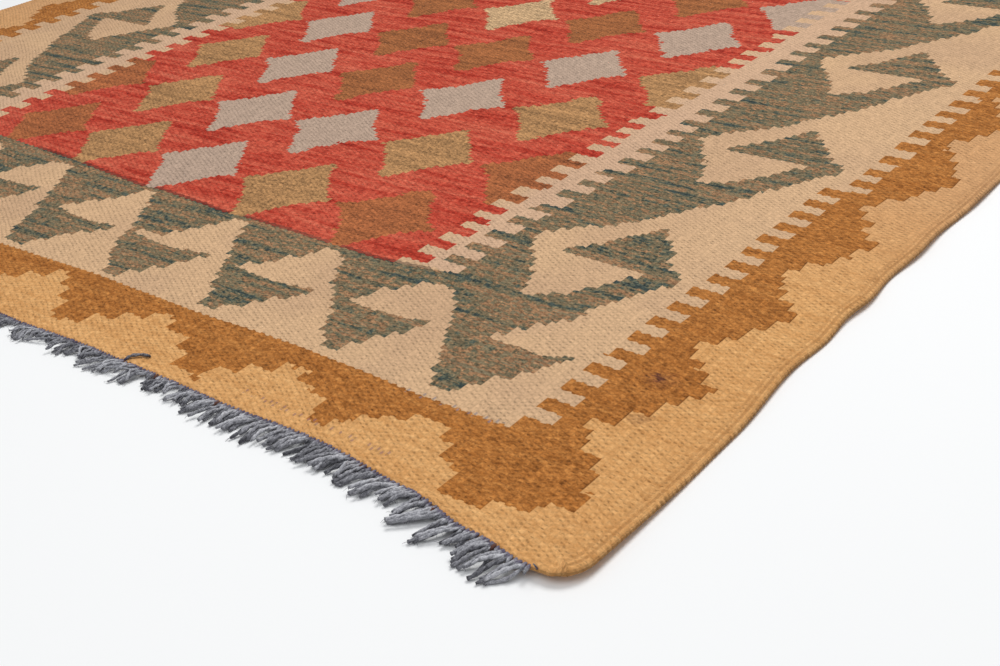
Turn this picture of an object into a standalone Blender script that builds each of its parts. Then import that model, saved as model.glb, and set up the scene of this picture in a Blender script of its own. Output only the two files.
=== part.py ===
"""Flat-woven wool rug lying on a level surface, with a corded selvedge on each
long side and a fringe of cut warp ends on each short side.

Metres, +Z up. The origin is at the middle of the footprint, on the surface.
+Y runs along the warps, +X across the rug. The near end is at -Y.
"""
import math

import bmesh
import bpy

# ---- driving dimensions (m) -------------------------------------------------
BODY_THICK = 0.0030           # weft-faced weave, warp and weft together
CORD_THICK = 0.0038           # crest of a selvedge cord
CORD_EDGE = 0.0024            # rolled-over outermost edge
FRINGE_GAP = 0.0004           # clear gap between weave and comb
SPINE_DEPTH = 0.0034          # twined row the loose ends leave from
SPINE_THICK = 0.0026
TIP_THICK = 0.0015
TEETH = 100                   # tufts of loose warp ends on one end
TUFT_ROOT = 0.62              # share of the tuft pitch filled at the root
TUFT_TIP = 0.40               # and at the tip
TUFT_LENGTH = 0.0158
TUFT_SPREAD = 0.0042          # how much the lengths differ
TUFT_LEAN = 0.0032            # how far a tip may lie to one side

# Outline, in metres. Each edge is a mean line plus a slow run of offsets.
RIGHT_X = 0.5560
LEFT_X = -0.5560
NEAR_Y = -0.8070
FAR_Y = 0.8095

#            (distance along, offset outwards or inwards along +X)
RIGHT_RUN = ((-0.807, 0.0020), (-0.740, 0.0024), (-0.680, 0.0016), (-0.615, -0.0034),
             (-0.585, -0.0016), (-0.560, -0.0030), (-0.537, -0.0008), (-0.505, -0.0036),
             (-0.470, -0.0010), (-0.440, -0.0022), (-0.390, 0.0004), (-0.300, -0.0014),
             (-0.120, 0.0012), (0.100, -0.0010), (0.330, 0.0016), (0.550, -0.0012),
             (0.807, 0.0010))
LEFT_RUN = ((-0.807, -0.0015), (-0.600, 0.0012), (-0.440, -0.0018), (-0.250, 0.0014),
            (-0.050, -0.0010), (0.200, 0.0020), (0.450, -0.0022), (0.650, 0.0010),
            (0.807, -0.0014))
#            (distance across, offset along +Y); the ends bow and the corners lag
NEAR_BOW = ((-0.556, -0.0060), (-0.400, -0.0020), (-0.220, 0.0012), (-0.050, -0.0020),
            (0.100, -0.0042), (0.200, 0.0012), (0.300, 0.0042), (0.385, 0.0084),
            (0.450, 0.0040), (0.500, -0.0050), (0.536, -0.0100), (0.556, -0.0104))
FAR_BOW = ((-0.556, 0.0052), (-0.430, -0.0010), (-0.250, -0.0046), (-0.060, -0.0012),
           (0.130, 0.0036), (0.310, 0.0012), (0.450, -0.0022), (0.556, 0.0056))
#            radius each corner is rounded to
CORNER_R = {"near_right": 0.019, "near_left": 0.016, "far_right": 0.017, "far_left": 0.018}

# Places where an edge does not quite lie down:
#            (x, y, reach across, reach along, height)
EDGE_LIFTS = (
    (0.560, -0.820, 0.120, 0.110, 0.0036),
    (0.560, -0.640, 0.034, 0.050, 0.0010),
    (0.560, -0.545, 0.040, 0.044, 0.0020),
    (0.560, -0.462, 0.040, 0.046, 0.0022),
    (0.560, -0.385, 0.034, 0.040, 0.0013),
    (0.560, -0.200, 0.034, 0.090, 0.0014),
    (0.560, 0.140, 0.036, 0.100, 0.0017),
    (0.560, 0.470, 0.034, 0.090, 0.0014),
    (-0.560, -0.480, 0.036, 0.100, 0.0018),
    (-0.560, -0.060, 0.034, 0.090, 0.0014),
    (-0.560, 0.380, 0.036, 0.100, 0.0017),
    (-0.560, -0.820, 0.090, 0.080, 0.0024),
    (0.560, 0.820, 0.080, 0.080, 0.0022),
    (-0.560, 0.820, 0.090, 0.080, 0.0026),
    (0.225, -0.812, 0.090, 0.045, 0.0010),
    (-0.170, 0.812, 0.100, 0.045, 0.0012),
)

# Stations of the weave's grid, measured in from an edge.
SIDE_STATIONS = (0.0, 0.0024, 0.0050, 0.0076, 0.0102, 0.020, 0.036, 0.060, 0.100)
#            crest and valley of the two selvedge cords at those stations
CORD_PROFILE = (CORD_EDGE, CORD_THICK, 0.0030, 0.0036, BODY_THICK)
END_STATIONS = (0.0, 0.012, 0.030, 0.055, 0.090)
STEP_ACROSS = 0.0238          # spacing of the inner stations
STEP_ALONG = 0.0200


# ---- shape of the rug -------------------------------------------------------
def smooth(t):
    t = max(0.0, min(1.0, t))
    return t * t * (3.0 - 2.0 * t)


def bow(table, x):
    """Smooth curve through a short table."""
    if x <= table[0][0]:
        return table[0][1]
    for (x0, y0), (x1, y1) in zip(table, table[1:]):
        if x <= x1:
            return y0 + (y1 - y0) * smooth((x - x0) / (x1 - x0))
    return table[-1][1]


def right_edge(y):
    return RIGHT_X + bow(RIGHT_RUN, y)


def left_edge(y):
    return LEFT_X + bow(LEFT_RUN, y)


def near_edge(x):
    return NEAR_Y + bow(NEAR_BOW, x)


def far_edge(x):
    return FAR_Y + bow(FAR_BOW, x)


def lift(x, y):
    """Height of the underside above the surface. Nothing away from the edges."""
    total = 0.0
    for cx, cy, rx, ry, high in EDGE_LIFTS:
        d = math.hypot((x - cx) / rx, (y - cy) / ry)
        if d < 1.0:
            total = max(total, high * (1.0 - smooth(d)))
    return total


def rounded(x, y):
    """Pulls a point of the square-cornered sheet in to the rounded outline."""
    for name, radius in CORNER_R.items():
        sy = -1.0 if name.startswith("near") else 1.0
        sx = 1.0 if name.endswith("right") else -1.0
        ex = right_edge(y) if sx > 0 else left_edge(y)
        ey = near_edge(x) if sy < 0 else far_edge(x)
        px = radius - (ex - x) * sx          # how far into the corner square
        py = radius - (ey - y) * sy
        if px > 0.0 and py > 0.0:
            reach = math.hypot(px, py)
            square = reach * radius / max(px, py)    # distance to the square's side
            k = radius / square
            px, py = px * k, py * k
            x = ex - (radius - px) * sx
            y = ey - (radius - py) * sy
    return x, y


# ---- helpers ----------------------------------------------------------------
def stations(low, high, ends, step):
    inner_low, inner_high = low + ends[-1], high - ends[-1]
    count = max(1, round((inner_high - inner_low) / step))
    middle = [inner_low + (inner_high - inner_low) * k / count for k in range(1, count)]
    return [low + e for e in ends] + middle + [high - e for e in reversed(ends)]


def wool(name, colour, roughness):
    material = bpy.data.materials.new(name)
    material.use_nodes = True
    shader = material.node_tree.nodes["Principled BSDF"]
    shader.inputs["Base Color"].default_value = (*colour, 1.0)
    shader.inputs["Roughness"].default_value = roughness
    shader.inputs["Metallic"].default_value = 0.0
    return material


def finish(bm, name, material, collection):
    bmesh.ops.recalc_face_normals(bm, faces=bm.faces)
    mesh = bpy.data.meshes.new(name)
    bm.to_mesh(mesh)
    bm.free()
    mesh.shade_smooth()
    mesh.set_sharp_from_angle(angle=math.radians(35.0))
    obj = bpy.data.objects.new(name, mesh)
    obj.data.materials.append(material)
    collection.objects.link(obj)
    return obj


# ---- the woven body ---------------------------------------------------------
ACROSS = stations(0.0, 1.0, [s / (RIGHT_X - LEFT_X) for s in SIDE_STATIONS],
                  STEP_ACROSS / (RIGHT_X - LEFT_X))
ALONG = stations(0.0, 1.0, [s / (FAR_Y - NEAR_Y) for s in END_STATIONS],
                 STEP_ALONG / (FAR_Y - NEAR_Y))


def on_rug(fx, fy):
    """Where a share across and a share along the square cloth comes to lie."""
    x = LEFT_X + (RIGHT_X - LEFT_X) * fx
    y = NEAR_Y + (FAR_Y - NEAR_Y) * fy
    fade_x = smooth(1.0 - min(fx, 1.0 - fx) / 0.20)
    fade_y = smooth(1.0 - min(fy, 1.0 - fy) / 0.12)
    x += fade_x * ((right_edge(y) - RIGHT_X) if fx > 0.5 else (left_edge(y) - LEFT_X))
    y += fade_y * ((near_edge(x) - NEAR_Y) if fy < 0.5 else (far_edge(x) - FAR_Y))
    x, y = rounded(x, y)
    return x, y, lift(x, y)


def end_line(fy):
    """The end of the weave as the straight pieces between its stations."""
    return [on_rug(fx, fy) for fx in ACROSS]


def along_line(line, x):
    """(y, height) of such a line at x."""
    for (x0, y0, z0), (x1, y1, z1) in zip(line, line[1:]):
        if x <= x1:
            t = (x - x0) / (x1 - x0)
            return y0 + (y1 - y0) * t, z0 + (z1 - z0) * t
    return line[-1][1], line[-1][2]


def woven_body(material, collection):
    bm = bmesh.new()
    cells_x, cells_y = len(ACROSS) - 1, len(ALONG) - 1
    bmesh.ops.create_grid(bm, x_segments=cells_x, y_segments=cells_y, size=0.5)
    column = {}
    for v in bm.verts:
        i = round((v.co.x + 0.5) * cells_x)
        j = round((v.co.y + 0.5) * cells_y)
        v.co = on_rug(ACROSS[i], ALONG[j])
        column[v] = min(i, cells_x - i)
    bottom = list(bm.faces)
    made = bmesh.ops.extrude_face_region(bm, geom=bottom)
    raised = [g for g in made["geom"] if isinstance(g, bmesh.types.BMVert)]
    sheet = {}
    for v in column:
        sheet[(round(v.co.x, 7), round(v.co.y, 7))] = column[v]
    for v in raised:
        k = sheet[(round(v.co.x, 7), round(v.co.y, 7))]
        v.co.z += CORD_PROFILE[k] if k < len(CORD_PROFILE) else BODY_THICK
    # level cells become one face above and one below
    bmesh.ops.dissolve_limit(bm, angle_limit=math.radians(0.02), use_dissolve_boundaries=False,
                             verts=list(bm.verts), edges=list(bm.edges))
    return finish(bm, "woven_body", material, collection)


# ---- a fringe ---------------------------------------------------------------
def scatter(k, salt):
    """A fixed irregular number in -1..1 for tuft k."""
    s = math.sin(k * 12.9898 + salt * 78.233) * 43758.5453
    return 2.0 * (s - math.floor(s)) - 1.0


def fringe(name, near, salt, material, collection):
    sign = -1.0 if near else 1.0
    line = end_line(0.0 if near else 1.0)
    mid_y = (NEAR_Y if near else FAR_Y)
    x0 = left_edge(mid_y) + CORNER_R["near_left" if near else "far_left"]
    x1 = right_edge(mid_y) - CORNER_R["near_right" if near else "far_right"]
    pitch = (x1 - x0) / TEETH
    bm = bmesh.new()
    bmesh.ops.create_grid(bm, x_segments=2 * TEETH, y_segments=1, size=0.5)
    bm.verts.ensure_lookup_table()
    front = {}
    place = {}
    for v in bm.verts:
        i = round((v.co.x + 0.5) * 2 * TEETH)
        k, half = divmod(i, 2)
        x = x0 + pitch * (k + (0.0 if half == 0 else TUFT_ROOT))
        outer = v.co.y > 0.0
        end, high = along_line(line, x)
        v.co = (x, end + sign * (FRINGE_GAP + (SPINE_DEPTH if outer else 0.0)), high)
        place[v] = SPINE_THICK
        if outer:
            front[i] = v
    for k in range(TEETH):
        a, b = front[2 * k], front[2 * k + 1]
        root = bm.edges.get((a, b))
        made = bmesh.ops.extrude_edge_only(bm, edges=[root])
        ends = [g for g in made["geom"] if isinstance(g, bmesh.types.BMVert)]
        ends.sort(key=lambda v: v.co.x)
        long = TUFT_LENGTH + TUFT_SPREAD * scatter(k, salt)
        lean = TUFT_LEAN * scatter(k, salt + 1.0)
        centre = 0.5 * (a.co.x + b.co.x) + lean
        for v, s in zip(ends, (-0.5, 0.5)):
            x = centre + s * pitch * TUFT_TIP
            end, high = along_line(line, 0.5 * (a.co.x + b.co.x))
            v.co = (x, end + sign * (FRINGE_GAP + SPINE_DEPTH + long), 0.35 * high)
            place[v] = TIP_THICK
    high = {(round(v.co.x, 7), round(v.co.y, 7)): t for v, t in place.items()}
    made = bmesh.ops.extrude_face_region(bm, geom=list(bm.faces))
    for v in (g for g in made["geom"] if isinstance(g, bmesh.types.BMVert)):
        v.co.z += high[(round(v.co.x, 7), round(v.co.y, 7))]
    return finish(bm, name, material, collection)


# ---- build ------------------------------------------------------------------
for old in list(bpy.data.objects):
    bpy.data.objects.remove(old, do_unlink=True)
rug = bpy.data.collections.new("kilim_rug")
bpy.context.scene.collection.children.link(rug)

weave_wool = wool("weave_wool", (0.46, 0.20, 0.11), 0.93)
fringe_wool = wool("fringe_wool", (0.20, 0.19, 0.22), 0.90)

woven_body(weave_wool, rug)
fringe("fringe_near", True, 1.0, fringe_wool, rug)
fringe("fringe_far", False, 4.0, fringe_wool, rug)
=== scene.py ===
"""Looks of the flat-woven wool rug: the cloth as one thin sheet with its corded
selvedges, its weave and pattern as a node material, and the two fringes as real
twisted strands.

Metres, +Z up, in the same frame as the CAD. +Y runs along the warps, +X across
the rug towards the selvedge nearest the camera.
"""
import math
import random

import bpy
import numpy as np
from mathutils import Matrix, Vector


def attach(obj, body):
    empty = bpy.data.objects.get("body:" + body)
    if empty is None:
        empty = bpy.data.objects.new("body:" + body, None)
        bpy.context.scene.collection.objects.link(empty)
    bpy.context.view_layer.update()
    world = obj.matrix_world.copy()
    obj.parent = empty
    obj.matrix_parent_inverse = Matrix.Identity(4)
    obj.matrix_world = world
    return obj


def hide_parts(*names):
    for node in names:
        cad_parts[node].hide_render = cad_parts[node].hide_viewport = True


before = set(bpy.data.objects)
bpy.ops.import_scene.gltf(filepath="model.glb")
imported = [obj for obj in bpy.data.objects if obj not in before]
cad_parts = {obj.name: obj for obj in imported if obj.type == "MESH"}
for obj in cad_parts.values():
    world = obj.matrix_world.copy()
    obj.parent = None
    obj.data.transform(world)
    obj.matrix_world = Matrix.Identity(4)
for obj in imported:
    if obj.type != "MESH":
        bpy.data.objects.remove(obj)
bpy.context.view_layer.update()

# =============================================================================
# 1. Shape of the rug, in the sizes of the CAD
# =============================================================================
BODY_THICK = 0.0030
FRINGE_GAP = 0.0004
RIGHT_X, LEFT_X = 0.5560, -0.5560
NEAR_Y, FAR_Y = -0.8070, 0.8095
WIDE, LONG = RIGHT_X - LEFT_X, FAR_Y - NEAR_Y

#            (distance along, offset outwards or inwards along +X)
RIGHT_RUN = ((-0.807, 0.0020), (-0.740, 0.0024), (-0.680, 0.0016), (-0.615, -0.0034),
             (-0.585, -0.0016), (-0.560, -0.0030), (-0.537, -0.0008), (-0.505, -0.0036),
             (-0.470, -0.0010), (-0.440, -0.0022), (-0.390, 0.0004), (-0.300, -0.0014),
             (-0.120, 0.0012), (0.100, -0.0010), (0.330, 0.0016), (0.550, -0.0012),
             (0.807, 0.0010))
LEFT_RUN = ((-0.807, -0.0015), (-0.600, 0.0012), (-0.440, -0.0018), (-0.250, 0.0014),
            (-0.050, -0.0010), (0.200, 0.0020), (0.450, -0.0022), (0.650, 0.0010),
            (0.807, -0.0014))
#            (distance across, offset along +Y)
NEAR_BOW = ((-0.556, -0.0060), (-0.400, -0.0020), (-0.220, 0.0012), (-0.050, -0.0020),
            (0.100, -0.0042), (0.200, 0.0012), (0.300, 0.0042), (0.385, 0.0084),
            (0.450, 0.0040), (0.500, -0.0050), (0.536, -0.0100), (0.556, -0.0104))
FAR_BOW = ((-0.556, 0.0052), (-0.430, -0.0010), (-0.250, -0.0046), (-0.060, -0.0012),
           (0.130, 0.0036), (0.310, 0.0012), (0.450, -0.0022), (0.556, 0.0056))
CORNER_R = {"near_right": 0.019, "near_left": 0.016, "far_right": 0.017, "far_left": 0.018}
#            (x, y, reach across, reach along, height)
EDGE_LIFTS = (
    (0.560, -0.820, 0.120, 0.110, 0.0036),
    (0.560, -0.640, 0.034, 0.050, 0.0010),
    (0.560, -0.545, 0.040, 0.044, 0.0020),
    (0.560, -0.462, 0.040, 0.046, 0.0022),
    (0.560, -0.385, 0.034, 0.040, 0.0013),
    (0.560, -0.200, 0.034, 0.090, 0.0014),
    (0.560, 0.140, 0.036, 0.100, 0.0017),
    (0.560, 0.470, 0.034, 0.090, 0.0014),
    (-0.560, -0.480, 0.036, 0.100, 0.0018),
    (-0.560, -0.060, 0.034, 0.090, 0.0014),
    (-0.560, 0.380, 0.036, 0.100, 0.0017),
    (-0.560, -0.820, 0.090, 0.080, 0.0024),
    (0.560, 0.820, 0.080, 0.080, 0.0022),
    (-0.560, 0.820, 0.090, 0.080, 0.0026),
    (0.225, -0.812, 0.090, 0.045, 0.0010),
    (-0.170, 0.812, 0.100, 0.045, 0.0012),
)


def smooth(t):
    t = max(0.0, min(1.0, t))
    return t * t * (3.0 - 2.0 * t)


def bow(table, x):
    """Smooth curve through a short table."""
    if x <= table[0][0]:
        return table[0][1]
    for (x0, y0), (x1, y1) in zip(table, table[1:]):
        if x <= x1:
            return y0 + (y1 - y0) * smooth((x - x0) / (x1 - x0))
    return table[-1][1]


def right_edge(y):
    return RIGHT_X + bow(RIGHT_RUN, y)


def left_edge(y):
    return LEFT_X + bow(LEFT_RUN, y)


def near_edge(x):
    return NEAR_Y + bow(NEAR_BOW, x)


def far_edge(x):
    return FAR_Y + bow(FAR_BOW, x)


def lift(x, y):
    """Height of the underside above the surface."""
    total = 0.0
    for cx, cy, rx, ry, high in EDGE_LIFTS:
        d = math.hypot((x - cx) / rx, (y - cy) / ry)
        if d < 1.0:
            total = max(total, high * (1.0 - smooth(d)))
    return total


def rounded(x, y):
    """Pulls a point of the square-cornered sheet in to the rounded outline."""
    for name, radius in CORNER_R.items():
        sy = -1.0 if name.startswith("near") else 1.0
        sx = 1.0 if name.endswith("right") else -1.0
        ex = right_edge(y) if sx > 0 else left_edge(y)
        ey = near_edge(x) if sy < 0 else far_edge(x)
        px = radius - (ex - x) * sx
        py = radius - (ey - y) * sy
        if px > 0.0 and py > 0.0:
            reach = math.hypot(px, py)
            square = reach * radius / max(px, py)
            k = radius / square
            px, py = px * k, py * k
            x = ex - (radius - px) * sx
            y = ey - (radius - py) * sy
    return x, y


def on_rug(fx, fy):
    """Where a share across and a share along the square cloth comes to lie."""
    x = LEFT_X + WIDE * fx
    y = NEAR_Y + LONG * fy
    fade_x = smooth(1.0 - min(fx, 1.0 - fx) / 0.20)
    fade_y = smooth(1.0 - min(fy, 1.0 - fy) / 0.12)
    x += fade_x * ((right_edge(y) - RIGHT_X) if fx > 0.5 else (left_edge(y) - LEFT_X))
    y += fade_y * ((near_edge(x) - NEAR_Y) if fy < 0.5 else (far_edge(x) - FAR_Y))
    x, y = rounded(x, y)
    return x, y, lift(x, y)


# =============================================================================
# 2. Numbers and colours flowing through a node tree
# =============================================================================
def rgb(r, g, b):
    """A colour given as it looks on a screen, 0 to 255, as Blender's linear one."""
    def one(c):
        c /= 255.0
        return c / 12.92 if c <= 0.04045 else ((c + 0.055) / 1.055) ** 2.4
    return (one(r), one(g), one(b), 1.0)


class Num:
    """A number in the tree. Arithmetic on it adds Math nodes."""

    def __init__(self, wool, socket):
        self.wool, self.socket = wool, socket

    def __add__(self, other):
        return self.wool.math("ADD", self, other)

    __radd__ = __add__

    def __sub__(self, other):
        return self.wool.math("SUBTRACT", self, other)

    def __rsub__(self, other):
        return self.wool.math("SUBTRACT", other, self)

    def __mul__(self, other):
        return self.wool.math("MULTIPLY", self, other)

    __rmul__ = __mul__

    def __truediv__(self, other):
        return self.wool.math("DIVIDE", self, other)

    def __lt__(self, other):
        return self.wool.math("LESS_THAN", self, other)

    def __gt__(self, other):
        return self.wool.math("GREATER_THAN", self, other)

    def __and__(self, other):
        return self.wool.math("MULTIPLY", self, other)

    def __or__(self, other):
        return self.wool.math("MAXIMUM", self, other)

    def __invert__(self):
        return self.wool.math("SUBTRACT", 1.0, self)

    def __mod__(self, other):
        return self.wool.math("FLOORED_MODULO", self, other)

    def floor(self):
        return self.wool.math("FLOOR", self)

    def round(self):
        return self.wool.math("ROUND", self)

    def fract(self):
        return self.wool.math("FRACT", self)

    def abs(self):
        return self.wool.math("ABSOLUTE", self)

    def cos(self):
        return self.wool.math("COSINE", self)

    def sin(self):
        return self.wool.math("SINE", self)

    def power(self, other):
        return self.wool.math("POWER", self, other)

    def least(self, other):
        return self.wool.math("MINIMUM", self, other)

    def most(self, other):
        return self.wool.math("MAXIMUM", self, other)

    def times_plus(self, a, b):
        return self.wool.math("MULTIPLY_ADD", self, a, b)


class Wool:
    """A material and the small words its pattern is written in."""

    def __init__(self, name):
        self.material = bpy.data.materials.new(name)
        self.material.use_nodes = True
        self.tree = self.material.node_tree
        self.shader = self.tree.nodes["Principled BSDF"]
        self.count = 0

    def add(self, kind):
        made = self.tree.nodes.new(kind)
        made.location = (-4000 + 180 * (self.count % 22), 900 - 220 * (self.count // 22))
        self.count += 1
        return made

    def put(self, value, socket):
        if isinstance(value, Num):
            self.tree.links.new(value.socket, socket)
        elif isinstance(value, bpy.types.NodeSocket):
            self.tree.links.new(value, socket)
        else:
            socket.default_value = value

    def math(self, operation, *values):
        node = self.add("ShaderNodeMath")
        node.operation = operation
        for k, value in enumerate(values):
            self.put(value, node.inputs[k])
        return Num(self, node.outputs[0])

    def flat(self, layer):
        """The two numbers of a flat coordinate kept on the mesh."""
        node = self.add("ShaderNodeUVMap")
        node.uv_map = layer
        parts = self.add("ShaderNodeSeparateXYZ")
        self.tree.links.new(node.outputs[0], parts.inputs[0])
        return Num(self, parts.outputs[0]), Num(self, parts.outputs[1])

    def vector(self, x, y, z=0.0):
        node = self.add("ShaderNodeCombineXYZ")
        for value, socket in zip((x, y, z), node.inputs):
            self.put(value, socket)
        return node.outputs[0]

    def chart(self, x, rows, low, high, top, least=0.0, most=8.0, linear=False):
        """A charted table of rows (x, a, b, c, d) as a ramp: a row holds from its x
        to the next one's. Gives as many numbers as the rows have columns."""
        place = (x - low) * (1.0 / (high - low))
        node = self.add("ShaderNodeValToRGB")
        ramp = node.color_ramp
        ramp.interpolation = "LINEAR" if linear else "CONSTANT"
        if len(rows) > 32:
            raise ValueError("a chart holds 32 rows")
        while len(ramp.elements) > 1:
            ramp.elements.remove(ramp.elements[-1])
        for k, row in enumerate(rows):
            at = min(1.0, max(0.0, (row[0] - low) / (high - low)))
            stop = ramp.elements[0] if k == 0 else ramp.elements.new(at)
            if k == 0:
                stop.position = 0.0
            numbers = [(v - least) / (most - least) for v in row[1:]]
            numbers += [0.0] * (3 - len(numbers)) if len(numbers) < 3 else []
            stop.color = (numbers + [1.0])[:4] if len(numbers) == 3 else numbers[:4]
        self.put(place, node.inputs[0])
        parts = self.add("ShaderNodeSeparateColor")
        self.tree.links.new(node.outputs[0], parts.inputs[0])
        out = [Num(self, parts.outputs[0]), Num(self, parts.outputs[1]),
               Num(self, parts.outputs[2]), Num(self, node.outputs[1])][:top]
        return [n.times_plus(most - least, least) for n in out]

    def colours(self, x, stops, step=False):
        """A ramp of colours over 0 to 1."""
        node = self.add("ShaderNodeValToRGB")
        ramp = node.color_ramp
        ramp.interpolation = "CONSTANT" if step else "LINEAR"
        while len(ramp.elements) > 1:
            ramp.elements.remove(ramp.elements[-1])
        for k, (at, colour) in enumerate(stops):
            stop = ramp.elements[0] if k == 0 else ramp.elements.new(at)
            stop.position = at
            stop.color = colour
        self.put(x, node.inputs[0])
        return node.outputs[0]

    def blend(self, share, a, b, way="MIX"):
        """Colour a, turning to colour b with the share."""
        node = self.add("ShaderNodeMix")
        node.data_type = "RGBA"
        node.blend_type = way
        node.clamp_factor = True
        self.put(share, node.inputs[0])
        self.put(a, node.inputs[6])
        self.put(b, node.inputs[7])
        return node.outputs[2]

    def noise(self, vector, scale, detail=2.0, rough=0.5, dims="3D"):
        node = self.add("ShaderNodeTexNoise")
        node.noise_dimensions = dims
        node.inputs["Scale"].default_value = scale
        node.inputs["Detail"].default_value = detail
        node.inputs["Roughness"].default_value = rough
        self.tree.links.new(vector, node.inputs["Vector"])
        return Num(self, node.outputs[0])

    def dice(self, vector):
        """An even random number for each place."""
        node = self.add("ShaderNodeTexWhiteNoise")
        node.noise_dimensions = "3D"
        self.tree.links.new(vector, node.inputs["Vector"])
        return Num(self, node.outputs["Value"])

    def spread(self, x, low, high, a=0.0, b=1.0):
        """x from low..high to a..b, smooth and held at the ends."""
        node = self.add("ShaderNodeMapRange")
        node.interpolation_type = "SMOOTHSTEP"
        self.put(x, node.inputs[0])
        for k, v in zip((1, 2, 3, 4), (low, high, a, b)):
            node.inputs[k].default_value = v
        return Num(self, node.outputs[0])


# =============================================================================
# 3. The chart of the pattern
# =============================================================================
# u counts diamonds across (0.100 m each, 0 in the middle of the field) and v
# counts rows of diamonds along the warps (0.0985 m each, row 1 at the near end).
UNIT_U, UNIT_V = 0.1000, 0.0985
MIDDLE_U, MIDDLE_V = -0.26, 7.0        # the rug's centre
WARP = 0.0345                          # u from one warp to the next
FLOAT = 0.0355                         # v from one weft float to the next on a warp

#  A hooked triangle of the zigzag band, for the side nearest the camera.
#  offset   edge of   inside edge  outside edge
#  along    the band  of the hook  of the hook
HOOK_PITCH = 1.838
HOOK_AT = 3.045
HOOK = (
    (-0.61, 3.64, 3.64, 4.06), (-0.57, 3.60, 3.69, 4.07), (-0.52, 3.58, 3.77, 4.09),
    (-0.46, 3.56, 3.85, 4.14), (-0.39, 3.51, 3.90, 4.18), (-0.31, 3.46, 3.97, 4.22),
    (-0.23, 3.42, 4.00, 4.26), (-0.16, 3.35, 4.06, 4.29), (-0.09, 3.29, 4.11, 4.35),
    (-0.02, 3.25, 3.48, 4.35), (0.05, 3.20, 3.51, 4.31), (0.10, 3.22, 3.58, 4.22),
    (0.17, 3.28, 3.65, 4.15), (0.25, 3.36, 3.69, 4.12), (0.31, 3.43, 3.73, 4.06),
    (0.37, 3.51, 3.77, 4.02), (0.43, 3.57, 3.80, 3.95), (0.50, 3.62, 3.83, 3.91),
    (0.55, 3.67, 0.00, 0.00),
    (0.61, 3.71, 0.00, 0.00), (0.69, 3.75, 0.00, 0.00), (0.77, 3.80, 0.00, 0.00),
    (0.85, 3.86, 0.00, 0.00), (0.93, 3.90, 0.00, 0.00), (1.01, 3.96, 0.00, 0.00),
    (1.09, 4.01, 0.00, 0.00), (1.17, 4.05, 0.00, 0.00),
)

#  Edge between ochre and gold along the side: (v, u of the edge)
OCHRE_NEAR = (
    (-0.88, 5.04), (-0.73, 4.96), (-0.58, 4.875), (-0.47, 4.765), (-0.37, 4.70),
    (-0.30, 4.66), (-0.21, 4.78), (-0.055, 4.88), (0.095, 4.965), (0.205, 5.03),
    (0.34, 4.93), (0.44, 4.845), (0.525, 4.76), (0.62, 4.715), (0.70, 4.80),
    (0.80, 4.88), (0.965, 4.955), (1.10, 5.03), (1.22, 4.94), (1.31, 4.865),
    (1.42, 4.78), (1.50, 4.75), (1.56, 4.72),
)
OCHRE_ON = (
    (1.66, 4.79), (1.79, 4.895), (1.93, 4.965), (2.075, 5.03), (2.205, 4.94),
    (2.30, 4.875), (2.45, 4.80), (2.57, 4.73), (2.65, 4.80), (2.80, 4.90),
    (2.90, 4.97), (3.01, 5.03), (3.11, 5.10), (3.28, 5.015), (3.40, 4.965),
    (3.52, 4.895), (3.66, 4.81),
)

#  Middles of the fingers of the three combs, along v
RED_COMB = (0.69, 0.88, 1.12, 1.27, 1.45, 1.66, 1.92, 2.10, 2.32, 2.55, 2.75, 2.91, 3.10,
            3.35, 3.58, 3.83, 4.07, 4.33, 4.56, 4.76, 5.00, 5.24, 5.46, 5.70, 5.93, 6.17,
            6.40, 6.64, 6.88, 7.12)
DARK_COMB = (0.78, 0.97, 1.17, 1.41, 1.63, 1.91, 2.10, 2.30, 2.55, 2.76, 2.94, 3.13, 3.33,
             3.57, 3.83, 4.05, 4.29, 4.54, 4.80, 5.03, 5.25, 5.49, 5.73, 5.97, 6.20, 6.43,
             6.67, 6.90, 7.14)
OCHRE_COMB = (-0.42, -0.23, -0.02, 0.18, 0.37, 0.57, 0.76, 0.96, 1.16, 1.34, 1.55, 1.75,
              1.94, 2.14, 2.33, 2.53, 2.71, 2.93, 3.11, 3.35, 3.63, 3.86, 4.07, 4.28,
              4.50, 4.75, 4.98, 5.22, 5.45, 5.68, 5.92, 6.15, 6.39, 6.62, 6.86, 7.10)

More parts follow.
